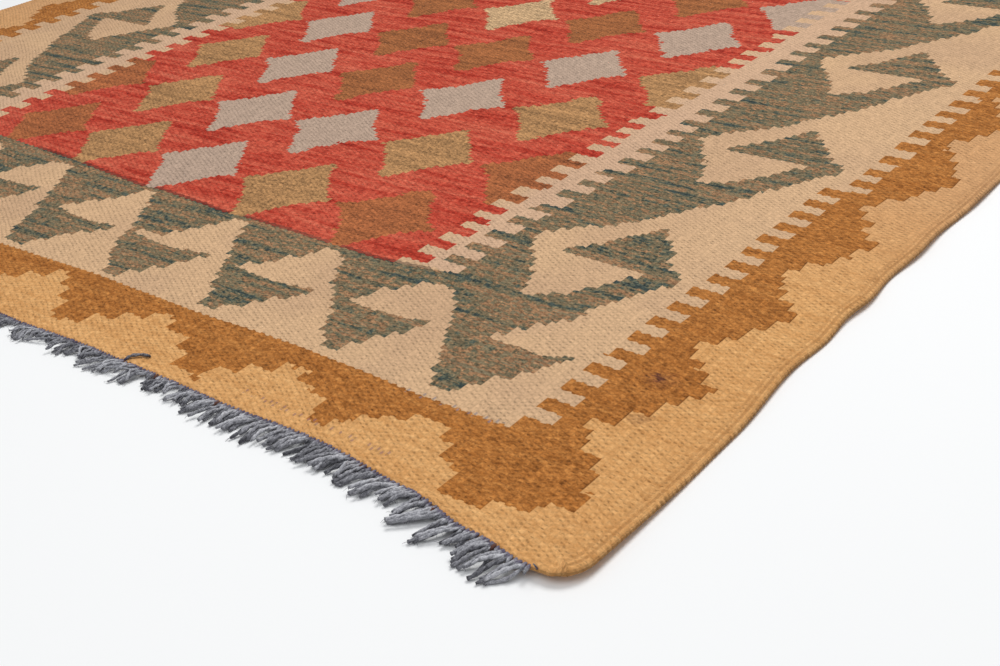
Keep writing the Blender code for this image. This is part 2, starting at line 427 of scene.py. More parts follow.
#  The end border's hanging triangles, unit by unit.
#  v (from)  upper: left, right   lower: left, right
TRIANGLE = (
    ((-0.58, 0, 0, -0.27, -0.02), (-0.50, 0, 0, -0.34, 0.00), (-0.45, 0, 0, -0.37, 0.08),
     (-0.35, 0, 0, -0.39, 0.11), (-0.30, 0, 0, -0.44, 0.18), (-0.22, 0, 0, -0.49, 0.26),
     (-0.13, -0.58, -0.40, -0.53, 0.33), (-0.07, -0.59, -0.33, -0.58, 0.33),
     (-0.01, -0.61, -0.32, -0.61, 0.34), (0.04, -0.67, -0.25, 0, 0),
     (0.13, -0.70, -0.22, 0, 0), (0.16, -0.76, -0.13, 0, 0), (0.24, -0.81, -0.05, 0, 0),
     (0.31, -0.86, -0.03, 0, 0), (0.37, -0.92, 0.02, 0, 0), (0.47, -0.94, 0.03, 0, 0)),
    ((-0.53, 0, 0, 0.84, 1.02), (-0.45, 0, 0, 0.80, 1.03), (-0.41, 0, 0, 0.73, 1.12),
     (-0.35, 0, 0, 0.65, 1.13), (-0.30, 0, 0, 0.62, 1.21), (-0.22, 0, 0, 0.56, 1.23),
     (-0.17, 0, 0, 0.53, 1.28), (-0.08, 0, 0, 0.48, 1.30), (-0.05, 0, 0, 0.48, 1.36),
     (-0.01, 0, 0, 0.48, 1.36), (0.02, 0.41, 0.79, 0, 0), (0.13, 0.35, 0.87, 0, 0),
     (0.17, 0.32, 0.88, 0, 0), (0.22, 0.27, 0.95, 0, 0), (0.32, 0.20, 1.02, 0, 0),
     (0.40, 0.16, 1.03, 0, 0), (0.47, 0.13, 1.02, 0, 0)),
    ((-0.48, 0, 0, 1.80, 1.98), (-0.40, 0, 0, 1.80, 2.01), (-0.38, 0, 0, 1.75, 2.09),
     (-0.30, 0, 0, 1.70, 2.11), (-0.27, 0, 0, 1.65, 2.19), (-0.17, 0, 0, 1.60, 2.28),
     (-0.10, 0, 0, 1.56, 2.30), (-0.06, 1.55, 1.63, 1.53, 2.35),
     (-0.01, 1.50, 1.66, 1.50, 2.34), (0.07, 1.44, 1.76, 0, 0), (0.14, 1.38, 1.83, 0, 0),
     (0.20, 1.33, 1.85, 0, 0), (0.27, 1.27, 1.94, 0, 0), (0.37, 1.21, 1.99, 0, 0),
     (0.47, 1.17, 2.00, 0, 0)),
    ((-0.43, 0, 0, 2.86, 3.01), (-0.36, 0, 0, 2.81, 3.00), (-0.31, 0, 0, 2.73, 3.07),
     (-0.24, 0, 0, 2.69, 3.07), (-0.18, 0, 0, 2.65, 3.15), (-0.10, 0, 0, 2.58, 3.21),
     (-0.03, 2.52, 2.61, 2.53, 3.21), (0.02, 2.49, 2.63, 2.49, 3.26),
     (0.08, 2.41, 2.66, 2.49, 3.27), (0.13, 2.37, 2.71, 0, 0), (0.22, 2.32, 2.71, 0, 0),
     (0.27, 2.26, 2.80, 0, 0), (0.36, 2.21, 2.87, 0, 0), (0.42, 2.14, 2.88, 0, 0),
     (0.45, 2.11, 2.96, 0, 0)),
)
#  Sagging upper edge of the lower triangles: (u, v)
SAG = (
    (-0.62, 0.02), (-0.48, -0.03), (-0.34, -0.065), (-0.22, -0.085), (0.08, -0.075),
    (0.20, -0.05), (0.30, -0.04), (0.42, 0.02), (0.56, -0.045), (0.72, -0.06),
    (1.00, -0.05), (1.12, -0.02), (1.24, 0.005), (1.42, 0.02), (1.58, -0.02),
    (1.72, -0.03), (2.05, -0.02), (2.18, 0.00), (2.28, 0.025), (2.40, 0.04),
    (2.70, 0.03), (2.85, 0.045), (3.05, 0.055), (3.15, 0.085), (3.22, 0.10),
)
END_PITCH = 4.07                       # the four units repeat

#  The corner's hanging piece: v (from), left, right
CORNER = (
    (-0.41, 3.70, 3.86), (-0.37, 3.67, 3.87), (-0.30, 3.61, 3.92), (-0.28, 3.60, 3.96),
    (-0.19, 3.57, 3.96), (-0.155, 3.53, 4.05), (-0.09, 3.49, 4.06), (-0.04, 3.46, 4.14),
    (0.02, 3.42, 4.14), (0.06, 3.40, 4.15), (0.13, 3.35, 3.67), (0.20, 3.33, 3.745),
    (0.23, 3.29, 3.745), (0.305, 3.24, 3.815), (0.36, 3.18, 3.82), (0.41, 3.15, 3.885),
    (0.46, 3.09, 3.90), (0.51, 2.95, 3.97), (0.60, 2.95, 4.00),
)
#  Its long thin tip: u (from), lower and upper edge
CORNER_TIP = (
    (3.60, 0.05, 0.135), (3.86, 0.05, 0.145), (3.95, 0.05, 0.130), (4.06, 0.05, 0.150),
    (4.12, 0.05, 0.175), (4.15, 0.125, 0.195), (4.20, 0.165, 0.205), (4.235, 0.50, 0.10),
)
#  Beige meets the end's ochre band, and the field meets its dark line: (u, v)
BEIGE_END = ((-5.9, -0.72), (-3.5, -0.70), (-1.5, -0.665), (-0.2, -0.645), (0.5, -0.60),
             (0.9, -0.575), (1.9, -0.555), (2.3, -0.53), (2.8, -0.505), (3.3, -0.505),
             (3.7, -0.515), (4.1, -0.50), (4.6, -0.485), (5.4, -0.49))
FIELD_END = ((-5.9, 0.60), (-2.2, 0.58), (-1.0, 0.555), (-0.1, 0.50), (0.1, 0.53),
             (0.9, 0.505), (1.1, 0.525), (2.4, 0.53), (2.7, 0.57), (3.0, 0.635),
             (5.4, 0.66))

#  Ochre blocks standing on the end band, each four tables of (v, left, right).
BLOCKS = (
    # v from      block 1       block 2        (u of left and right edges)
    (-1.30, 0.0, 0.0, 0.0, 0.0),
    (-1.085, 1.10, 1.18, 2.47, 2.53),
    (-1.045, 1.03, 1.33, 2.25, 2.52),
    (-0.905, 0.89, 1.50, 2.10, 2.67),
    (-0.79, 0.73, 1.65, 1.87, 2.84),
    (-0.695, 0.60, 1.74, 1.80, 2.84),
    (-0.665, 0.00, 1.90, 1.70, 2.90),
)
CORNER_BLOCK = (
    (-1.30, 0.0, 0.0, 0.0, 0.0),
    (-1.095, 4.38, 4.64, 0.0, 0.0),
    (-1.005, 4.38, 4.86, 3.36, 3.50),
    (-0.925, 4.29, 4.88, 3.32, 3.57),
    (-0.885, 4.20, 5.04, 3.32, 3.60),
    (-0.81, 4.18, 5.04, 3.17, 3.70),
    (-0.765, 4.08, 5.04, 3.03, 3.72),
    (-0.745, 4.07, 4.96, 3.03, 3.84),
    (-0.66, 4.02, 4.96, 2.98, 3.93),
    (-0.625, 3.90, 4.875, 2.90, 3.98),
    (-0.575, 3.90, 4.77, 2.90, 3.98),
)

#  Half width of a diamond by the distance along from its middle: left, right
DIAMOND = (
    (-0.52, 0.035, 0.035), (-0.47, 0.06, 0.065), (-0.42, 0.09, 0.09), (-0.36, 0.13, 0.13),
    (-0.30, 0.17, 0.165), (-0.25, 0.21, 0.20), (-0.20, 0.25, 0.24), (-0.15, 0.30, 0.285),
    (-0.10, 0.345, 0.33), (-0.055, 0.395, 0.38), (-0.02, 0.445, 0.44), (0.02, 0.44, 0.44),
    (0.05, 0.40, 0.395), (0.09, 0.355, 0.35), (0.14, 0.30, 0.30), (0.19, 0.25, 0.25),
    (0.24, 0.21, 0.21), (0.29, 0.165, 0.17), (0.34, 0.13, 0.13), (0.39, 0.095, 0.09),
    (0.44, 0.06, 0.06), (0.48, 0.03, 0.03), (0.505, 0.0, 0.0),
)


def comb_chart(middles, low, high, rows):
    """How many fingers have passed at each v, so that a middle is at a half."""
    places = np.array(middles)
    numbers = np.arange(len(middles)) + 0.5
    pitch = 0.2125
    out = []
    for v in np.linspace(low, high, rows):
        if v < places[0]:
            n = numbers[0] - (places[0] - v) / pitch
        elif v > places[-1]:
            n = numbers[-1] + (v - places[-1]) / pitch
        else:
            n = np.interp(v, places, numbers)
        out.append((float(v), float(n)))
    return out


# =============================================================================
# 4. The woven wool
# =============================================================================
LEVEL = 0.935                            # how light the dry wool is, once it is hollowed


def woven_wool():
    m = Wool("woven_wool")
    u, v = m.flat("chart")              # where it lies, in pattern units
    w, s = m.flat("cloth")              # warps and weft floats counted in the cloth
    edge, _ = m.flat("edge")            # mm in from the selvedge, and from the end

    # ---- one float of weft over one warp ------------------------------------
    tremble = m.noise(m.vector(w * 0.43, s * 0.52, 9.0), 1.0, 3.0, 0.7) - 0.5
    column = w.floor()
    across = w.fract() - 0.5
    odd = column % 2.0
    row = s + odd * 0.5 + across * 0.30 + tremble * 1.0
    number = row.floor()
    along = row.fract() - 0.5
    cu = u - across * WARP              # colours change between two warps
    cv = v - along * (FLOAT * 0.45)
    each = m.dice(m.vector(column, number, 0.0))
    other = m.dice(m.vector(number, column, 4.0))

    # ---- the two sides and the two ends ------------------------------------
    right = cu > -0.26
    nu = 0.0 - cu
    early = m.spread(cv, 1.2, 3.0, 0.10, 0.0)
    side = cu * right + (nu - 0.06) * ~right             # for the red comb
    hook_u = (cu + early) * right + nu.times_plus(0.894, 0.282) * ~right
    hook_v = cv - ~right * 0.15
    och_u = cu * right + nu.times_plus(0.833, 0.56) * ~right
    far = cv > 7.0
    vm = cv * ~far + (14.0 - cv) * far                   # counted from the nearer end

    # ---- combs ---------------------------------------------------------------
    low, high, n = -0.6, 7.2, 32
    red_rows = comb_chart(RED_COMB, low, high, n)
    dark_rows = comb_chart(DARK_COMB, low, high, n)
    ochre_rows = comb_chart(OCHRE_COMB, low, high, n)
    rows = [(a[0], a[1], b[1], c[1]) for a, b, c in zip(red_rows, dark_rows, ochre_rows)]
    held = cv.least(high)
    beyond = (cv - high).most(0.0) * (1.0 / 0.2325)
    counted = m.chart(held, rows, low, high, 3, least=-12.0, most=44.0, linear=True)
    left_side = ~right
    left_count = (cv - 1.115) * (1.0 / 0.2335)
    red_n = (counted[0] + beyond) * right + left_count * left_side
    dark_n = (counted[1] + beyond) * right + left_count * left_side
    ochre_n = (counted[2] + beyond) * right + ((cv - 2.235) * (1.0 / 0.2500)) * left_side
    red_finger = (red_n.fract() - 0.5).abs() < 0.245
    dark_finger = (dark_n.fract() - 0.5).abs() < 0.235
    ochre_finger = (ochre_n.fract() - 0.5).abs() < 0.262

    # ---- ends ----------------------------------------------------------------
    beige_end = m.chart(cu, BEIGE_END, -5.9, 5.4, 1, -1.0, 1.0, linear=True)[0]
    field_end = m.chart(cu, FIELD_END, -5.9, 5.4, 1, -1.0, 1.0, linear=True)[0]
    past_field = vm > field_end

    # ---- field ----------------------------------------------------------------
    field = ((side < 2.55) | ((side < 2.72) & red_finger)) & past_field

    line = cv.round()
    dv = cv - line + 0.015
    even = 1.0 - line % 2.0
    centre = (cu - even * 0.5).round() + even * 0.5
    du = cu - centre
    lot = m.dice(m.vector(centre, line, (dv * 11.0).floor()))
    halves = m.chart(dv, DIAMOND, -0.52, 0.52, 2, 0.0, 1.0)
    reach = halves[0] * (du < 0.0) + halves[1] * (du > 0.0)
    diamond = (du.abs() < (reach + (lot - 0.5) * 0.035)) & (centre.abs() < 2.6)
    # those cut by the comb keep their full height out to the fingers' tips
    outward = (du * ((centre > 0.0) * 2.0 - 1.0)) > -0.02
    cut_off = (centre.abs() > 2.4) & (centre.abs() < 2.6) & outward & (dv.abs() < 0.46)
    diamond = diamond | cut_off
    jm = line.least(14.0 - line)
    kind = centre.abs() - jm * 0.5       # 1.5 brown, .5 olive, -.5 grey, -1.5 brown, -2.5 tan

    # ---- side bands -------------------------------------------------------------
    o = (hook_v - (HOOK_AT - 0.61)) % HOOK_PITCH - 0.61
    band, hook_in, hook_out = m.chart(o, HOOK, -0.61, HOOK_PITCH - 0.61, 3)
    hooked = (hook_u < band) | ((hook_u > hook_in) & (hook_u < hook_out))
    inner = (hook_u > 3.09) | ((hook_u > 2.915) & dark_finger)
    side_band = hooked & inner & (vm > 0.62)

    corner_u = cu * right + (nu * 0.894 + 0.182) * ~right
    c_left, c_right = m.chart(vm, CORNER, -0.41, 0.75, 2)
    corner = (corner_u > c_left) & (corner_u < c_right) & (vm > -0.41) & (vm < 0.63)
    t_low, t_high = m.chart(corner_u, CORNER_TIP, 3.60, 4.30, 2, 0.0, 1.0)
    tip = (corner_u > 3.60) & (vm > t_low) & (vm < t_high)

    # ---- end triangles ------------------------------------------------------------
    folded = cu + (cu < -0.72) * END_PITCH
    hanging = None
    sag = m.chart(folded, SAG, -0.62, 3.45, 1, -1.0, 1.0)[0]
    under_sag = vm < sag
    for k, rows in enumerate(TRIANGLE):
        at = folded if k > 1 else cu
        a, b, c, d = m.chart(vm, rows, rows[0][0], 0.66, 4, -1.5, 3.5)
        upper = (at > a) & (at < b)
        lower = (at > c) & (at < d) & under_sag
        one = (upper | lower) & (vm > rows[0][0])
        hanging = one if hanging is None else hanging | one
    hanging = (hanging | (vm > 0.475)) & ((cu < 3.32) & (cu > -3.45)) & ~past_field
    dark = side_band | corner | tip | hanging
    dark = dark & ~field

    # ---- ochre and gold --------------------------------------------------------------
    edge_near = m.chart(vm, OCHRE_NEAR, -0.88, 1.66, 1)[0]
    on_v = (cv - 1.66) % 2.08 + 1.66
    edge_on = m.chart(on_v, OCHRE_ON, 1.66, 3.74, 1)[0]
    near_part = vm < 1.66
    ochre_edge = edge_near * near_part + edge_on * ~near_part
    late = ((cv > 2.80) | left_side) & (vm > 1.66)
    comb_tip = (late * 0.125 + 4.375) - (vm < 1.3) * 0.03
    comb_root = (late * 0.115 + 4.540) - (vm < 1.2) * 0.03
    ochre_side = ((och_u > comb_root) | ((och_u > comb_tip) & (ochre_finger | (vm < -0.375)))) \
        & (och_u < ochre_edge) & (vm > -0.73)
    end_u = cu * right + (nu * 0.9 + 0.25) * ~right
    b1l, b1r, b2l, b2r = m.chart(vm, BLOCKS, -1.30, -0.50, 4)
    c1l, c1r, c2l, c2r = m.chart(vm, CORNER_BLOCK, -1.30, -0.50, 4)
    fold_b = (end_u - 0.655) % 2.27 + 0.655
    fold_b = fold_b * (end_u < 2.93) + end_u * (end_u > 2.93)
    blocks = ((fold_b > b1l) & (fold_b < b1r)) | ((fold_b > b2l) & (fold_b < b2r)) \
        | ((end_u > c2l) & (end_u < c2r)) | ((end_u > c1l) & (end_u < c1r))
    in_band = (vm > -0.655) & (end_u < 4.70)
    ochre_end = (blocks | in_band) & (vm < beige_end) & (end_u < 5.06)
    gold_zone = ((och_u > ochre_edge) & (vm > -0.82)) | (vm < beige_end)
    ochre = ochre_side | ochre_end
    gold_zone = gold_zone & ~ochre

    # ---- colours, uneven along each weft as hand-spun wool is --------------------------
    drift = m.noise(m.vector(u * 0.9, s * 0.46, 3.0), 1.0, 3.0, 0.66) - 0.5
    fleck = m.noise(m.vector(w * 0.75, s * 1.35, 7.0), 1.0, 2.0, 0.65) - 0.5
    cloud = m.noise(m.vector(u, v, 1.0), 1.4, 2.0, 0.5)
    grain = m.noise(m.vector(w * 1.45 + s * 0.35, s * 1.9, 5.0), 1.0, 4.0, 0.80) - 0.5
    run = drift * 0.85 + fleck * 0.30 + (each - 0.5) * 0.07 + 0.5

    red = m.colours(run, (
        (0.30, rgb(160, 38, 24)), (0.41, rgb(186, 60, 42)), (0.48, rgb(200, 78, 58)),
        (0.56, rgb(208, 92, 69)), (0.68, rgb(220, 112, 86))))
    mottle = drift * 1.50 + fleck * 0.42 + (other - 0.5) * 0.20 + grain * 0.50 + 0.5
    dark_col = m.colours(mottle, (
        (0.24, rgb(62, 74, 72)), (0.34, rgb(92, 98, 84)), (0.41, rgb(120, 112, 86)),
        (0.47, rgb(140, 118, 90)), (0.52, rgb(116, 112, 88)), (0.58, rgb(158, 122, 88)),
        (0.66, rgb(176, 130, 94)), (0.74, rgb(132, 118, 92))))
    lot_col = m.colours((kind + 3.6) * 0.18, (
        (0.00, rgb(192, 164, 143)), (0.13, rgb(206, 170, 128)), (0.29, rgb(166, 102, 60)),
        (0.47, rgb(193, 166, 146)), (0.65, rgb(182, 136, 90)), (0.83, rgb(174, 103, 62))),
        step=True)
    lot_grey = (kind.abs() < 0.6) * (kind < 0.0)
    pink = m.spread((side - 2.86).abs(), 0.10, 0.34, 1.0, 0.0) & (vm > 0.62)
    beige = m.blend(m.spread(cloud, 0.36, 0.66), rgb(224, 184, 143), rgb(214, 175, 138))
    beige = m.blend(pink * 0.6, beige, rgb(218, 180, 152))
    close = drift * 0.42 + fleck * 0.46 + (each - 0.5) * 0.06 + 0.5
    ochre_col = m.colours(close, (
        (0.32, rgb(150, 88, 34)), (0.46, rgb(178, 112, 52)), (0.56, rgb(190, 124, 62)),
        (0.68, rgb(206, 142, 76))))
    gold = m.colours(close, (
        (0.30, rgb(210, 148, 86)), (0.48, rgb(226, 168, 106)), (0.66, rgb(238, 184, 122))))

    gold = m.blend(m.spread(vm, 1.0, 3.5, 0.0, 0.75), gold, rgb(216, 166, 120))
    wool = m.blend(diamond, red, lot_col)
    wool = m.blend(~field, wool, beige)
    wool = m.blend(dark, wool, dark_col)
    wool = m.blend(gold_zone, wool, gold)
    wool = m.blend(ochre, wool, ochre_col)

    # stray dark fibres: along the field's end, where beige meets ochre, and in the gold
    line_end = ((vm - field_end - 0.012).abs() < 0.017) & ((cu - 0.6).abs() < 2.2) & ~diamond
    wool = m.blend(line_end * 0.55, wool, rgb(62, 50, 44))
    dot = (across.abs() < 0.24) & (along.abs() < 0.30)
    seam = ((vm - beige_end).abs() < 0.024) & ((cu - 3.95).abs() < 0.34) & (other > 0.50) & dot
    wool = m.blend(seam * 0.55, wool, rgb(112, 116, 134))
    specks = ((vm + 1.0).abs() < 0.020) & ((cu - 3.4).abs() < 0.56) & (other > 0.42) & dot
    wool = m.blend(specks * 0.50, wool, rgb(112, 84, 104))

    # a dark wine-coloured stain on the ochre, and its fainter neighbour
    for at_u, at_v, size, strong in ((4.745, 0.27, 0.15, 0.26), (4.725, 0.28, 0.060, 0.72), (4.85, -0.09, 0.085, 0.30)):
        spot = m.add("ShaderNodeVectorMath")
        spot.operation = "LENGTH"
        m.tree.links.new(m.vector(u - at_u, (v - at_v) * 1.25), spot.inputs[0])
        stain = m.spread(Num(m, spot.outputs["Value"]) + fleck * 0.22, size * 0.15, size, strong, 0.0)
        wool = m.blend(stain, wool, rgb(92, 52, 48))

    # ---- each float's own roundness, and painted shade in the hollows between the floats ---
    rim = along.abs()
    rib = (across * math.pi).cos()
    groove = m.spread(rim, 0.14, 0.50) * (other * 1.45 + 0.12) * rib
    between = m.spread(across.abs(), 0.18, 0.50) * (fleck * 1.8 + 0.42)
    hollow = groove.most(between)
    dull = diamond & field & (lot_grey < 0.5)
    reds = field & ~diamond
    uneven = dark * 2.6 + ochre * 1.5 + dull * 2.0 + (diamond & field) * 0.6 + reds * 1.2 + 1.2
    mixed = (each - 0.5) * 0.09 + fleck * 0.30 + grain * 0.80 + dull * drift * 0.40
    # painted shade in the valleys between the selvedge cords
    cords = m.spread((edge - 4.1).abs(), 0.3, 1.5, 1.0, 0.0) + m.spread((edge - 7.7).abs(), 0.3, 1.5, 0.8, 0.0) \
        + m.spread((edge - 11.4).abs(), 0.3, 1.6, 0.45, 0.0) + m.spread((edge - 15.2).abs(), 0.3, 1.5, 0.3, 0.0)
    hollow = hollow.most(cords * (fleck * 0.9 + 0.85))
    # painted shade: the hollows between floats and cords darken the colour, on top of the wool's random unevenness
    shade = (1.0 - hollow * 0.29) * (1.0 + uneven * mixed) * LEVEL
    # painted shade in the slits where ochre and gold meet along a warp
    gap = ((ochre_edge - och_u) > 0.0) & ((ochre_edge - och_u) < (WARP * 0.95)) & ochre_side
    shade = shade * (1.0 - gap * m.spread(across, 0.05, 0.45, 0.0, 0.42))
    # painted shade: faces turned sideways, the rug's sides and rounded rims, are darkened by how far they turn from up
    # or down
    lie = m.add("ShaderNodeSeparateXYZ")
    m.tree.links.new(m.add("ShaderNodeNewGeometry").outputs["True Normal"], lie.inputs[0])
    shade = shade * m.spread(Num(m, lie.outputs[2]).abs(), 0.15, 0.80, 0.48, 1.0)
    grey = m.add("ShaderNodeCombineColor")
    for socket in grey.inputs[:3]:
        m.put(shade, socket)
    m.put(m.blend(1.0, wool, grey.outputs[0], "MULTIPLY"), m.shader.inputs["Base Color"])

    # ---- surface ------------------------------------------------------------------------------
    height = (1.0 - hollow) * 0.70 + grain * 1.1 + fleck * 0.5
    bump = m.add("ShaderNodeBump")
    bump.inputs["Strength"].default_value = 0.8
    bump.inputs["Distance"].default_value = 0.0006
    m.put(height, bump.inputs["Height"])
    m.tree.links.new(bump.outputs[0], m.shader.inputs["Normal"])
    m.put(grain.times_plus(0.16, 0.90), m.shader.inputs["Roughness"])
    m.shader.inputs["Specular IOR Level"].default_value = 0.10
    m.shader.inputs["Sheen Weight"].default_value = 0.02
    m.shader.inputs["Sheen Roughness"].default_value = 0.5
    m.shader.inputs["Metallic"].default_value = 0.0
    return m.material


# =============================================================================
# 5. The cloth
# =============================================================================
def ease(k, salt):
    """A fixed irregular number in -1..1."""
    n = math.sin(k * 12.9898 + salt * 78.233) * 43758.5453
    return 2.0 * (n - math.floor(n)) - 1.0


def wave(x, y, salt, length):
    """A slow, uneven ripple in -1..1 over the rug."""
    total = 0.0
    for k in range(5):
        a = 2.4 * k + salt * 1.7 + ease(k, salt)
        f = 2.0 * math.pi / (length * (0.72 + 0.16 * k))
        total += math.sin(f * (x * math.cos(a) + y * math.sin(a)) + 3.0 * ease(k, salt + 5.0))
    return total / 3.2


#  Cross-section of a corded selvedge: distance in from the edge and height, in mm
CORDS = ((0.0, 1.2), (0.35, 2.3), (0.95, 3.2), (1.8, 3.75), (2.7, 3.8), (3.5, 3.35), (4.1, 2.85),
         (4.7, 3.2), (5.5, 3.6), (6.4, 3.55), (7.1, 3.1), (7.7, 2.8), (8.5, 3.1), (9.5, 3.25),
         (10.5, 3.02), (12.0, 3.0))
#  and of an end
END_ROLL = ((0.0, 1.3), (0.5, 2.35), (1.3, 2.9), (2.6, 3.05), (5.0, 3.0), (12.0, 3.0))
FINE = 9                                # fine rows of a selvedge to one of the cloth


def woven_cloth():
    """The closed sheet. Its selvedges are meshed finely enough for the weft that
    wraps each cord; the cloth between has a plain grid."""
    inner_x = np.linspace(0.012 + 0.0, WIDE - 0.012, 108)[1:-1]
    cols = [c[0] / 1000 for c in CORDS] + list(inner_x) + [WIDE - c[0] / 1000 for c in reversed(CORDS)]
    inner_y = np.linspace(0.012, LONG - 0.012, 156)[1:-1]
    rows = [c[0] / 1000 for c in END_ROLL] + list(inner_y) + [LONG - c[0] / 1000 for c in reversed(END_ROLL)]
    nx, ny = len(cols), len(rows)
    strip = len(CORDS) - 1              # last column of the left strip

    verts, chart, cloth, flat, edge = [], [], [], [], []
    index = {}

    def relief(dx, dy):
        a = np.interp(dx * 1000, [c[0] for c in CORDS], [c[1] for c in CORDS])
        b = np.interp(dy * 1000, [c[0] for c in END_ROLL], [c[1] for c in END_ROLL])
        return a * b / 3.0 / 1000

    def place(a, b, top):
        """Vertex at a metres across and b metres along the flat cloth."""
        key = (round(a, 7), round(b, 7), top)
        dx, dy = min(a, WIDE - a), min(b, LONG - b)
        if dx < 1e-9 or dy < 1e-9:
            key = (round(a, 7), round(b, 7), True)
            top = True
        if key in index:
            return index[key]
        x, y, low = on_rug(a / WIDE, b / LONG)
        soft = smooth(min(dx, dy) / 0.05)
        if top:
            z = low + relief(dx, dy)
            if dx < 0.011:
                # weft turning round the cords, one wrap to each float
                turn = math.sin(2 * math.pi * (b / (UNIT_V * FLOAT) + (0.5 if dx > 0.0041 else 0.0)
                                               + dx * 160.0))
                amount = 0.00017 * smooth(min(dy, 0.02) / 0.02)
                z += amount * turn * (1.0 if dx > 0.0005 else 0.3)
                out = 1.0 if a > WIDE / 2 else -1.0
                if dx < 0.002:
                    x += out * amount * 1.1 * turn
            z += 0.00026 * soft * wave(x, y, 3.0, 0.085) + 0.00014 * soft * wave(x, y, 8.0, 0.036)
        else:
            z = low + (0.0003 if min(dx, dy) < 0.0006 else 0.0)
        index[key] = len(verts)
        verts.append((x, y, z))
        u, v = x / UNIT_U + MIDDLE_U, y / UNIT_V + MIDDLE_V
        chart.append((u, v))
        slope = np.interp(u, [p[0] for p in BEIGE_END], [p[1] for p in BEIGE_END]) + 0.56
        slope *= smooth((3.0 - v) / 2.6)
        warp = a / UNIT_U / WARP + 0.34 * wave(x, y, 1.0, 0.16)
        weft = (v - slope) / FLOAT + 0.75 * wave(x, y, 2.0, 0.21) + 0.30 * wave(x, y, 6.0, 0.07)
        cloth.append((warp, weft))
        flat.append((a / WIDE, b / LONG))
        edge.append((dx * 1000, dy * 1000))
        return index[key]

    faces = []
    fine_of = {}
    for j in range(ny - 1):
        fine_of[j] = [rows[j] + (rows[j + 1] - rows[j]) * k / FINE for k in range(FINE + 1)] \
            if rows[j + 1] - rows[j] > 0.003 else [rows[j], rows[j + 1]]
    low_cols = [0, 2, strip] + list(range(strip + 1, nx - strip - 1)) + [nx - strip - 1, nx - 3, nx - 1]
    # top
    for j in range(ny - 1):
        steps = fine_of[j]
        for i in range(nx - 1):
            side = i < strip or i >= nx - 1 - strip
            if side:
                for b0, b1 in zip(steps, steps[1:]):
                    faces.append((place(cols[i], b0, True), place(cols[i + 1], b0, True),
                                  place(cols[i + 1], b1, True), place(cols[i], b1, True)))
            else:
                ring = [place(cols[i], rows[j], True), place(cols[i + 1], rows[j], True)]
                if i == nx - 2 - strip:
                    ring += [place(cols[i + 1], b, True) for b in steps[1:-1]]
                ring += [place(cols[i + 1], rows[j + 1], True), place(cols[i], rows[j + 1], True)]
                if i == strip:
                    ring += [place(cols[i], b, True) for b in reversed(steps[1:-1])]
                faces.append(tuple(ring))
    tops = len(faces)
    # underneath
    for j in range(ny - 1):
        steps = fine_of[j]
        for p, q in zip(low_cols, low_cols[1:]):
            ring = []
            if j == 0:
                ring += [place(cols[i], rows[0], False) for i in range(p, q)]
            else:
                ring += [place(cols[p], rows[j], False)]
            ring.append(place(cols[q], rows[j], False))
            if q == nx - 1:
                ring += [place(cols[q], b, False) for b in steps[1:-1]]
            ring.append(place(cols[q], rows[j + 1], False))
            if j == ny - 2:
                ring += [place(cols[i], rows[ny - 1], False) for i in range(q - 1, p, -1)]
            ring.append(place(cols[p], rows[j + 1], False))
            if p == 0:
                ring += [place(cols[p], b, False) for b in reversed(steps[1:-1])]
            faces.append(tuple(reversed(ring)))

    mesh = bpy.data.meshes.new("rug_cloth")
    mesh.from_pydata(verts, [], faces)
    mesh.validate()
    corners = np.empty(len(mesh.loops), np.int32)
    mesh.loops.foreach_get("vertex_index", corners)
    for name, values in (("chart", chart), ("cloth", cloth), ("edge", edge)):
        layer = mesh.uv_layers.new(name=name)
        layer.uv.foreach_set("vector", np.array(values, np.float32)[corners].ravel())
    # a third map, with no overlaps: the top takes two thirds of it, the underside less
    starts = np.empty(len(mesh.polygons), np.int32)
    mesh.polygons.foreach_get("loop_start", starts)
    is_top = np.arange(len(corners)) < starts[tops]
    across = np.array(flat, np.float32)[corners]
    whole = np.where(is_top[:, None], across * (0.665, 0.98) + (0.005, 0.01),
                     across * (0.305, 0.45) + (0.685, 0.01))
    layer = mesh.uv_layers.new(name="OFBake")
    layer.uv.foreach_set("vector", whole.astype(np.float32).ravel())
    mesh.polygons.foreach_set("use_smooth", np.ones(len(mesh.polygons), bool))
    obj = bpy.data.objects.new("rug_cloth", mesh)
    bpy.context.scene.collection.objects.link(obj)
    return obj


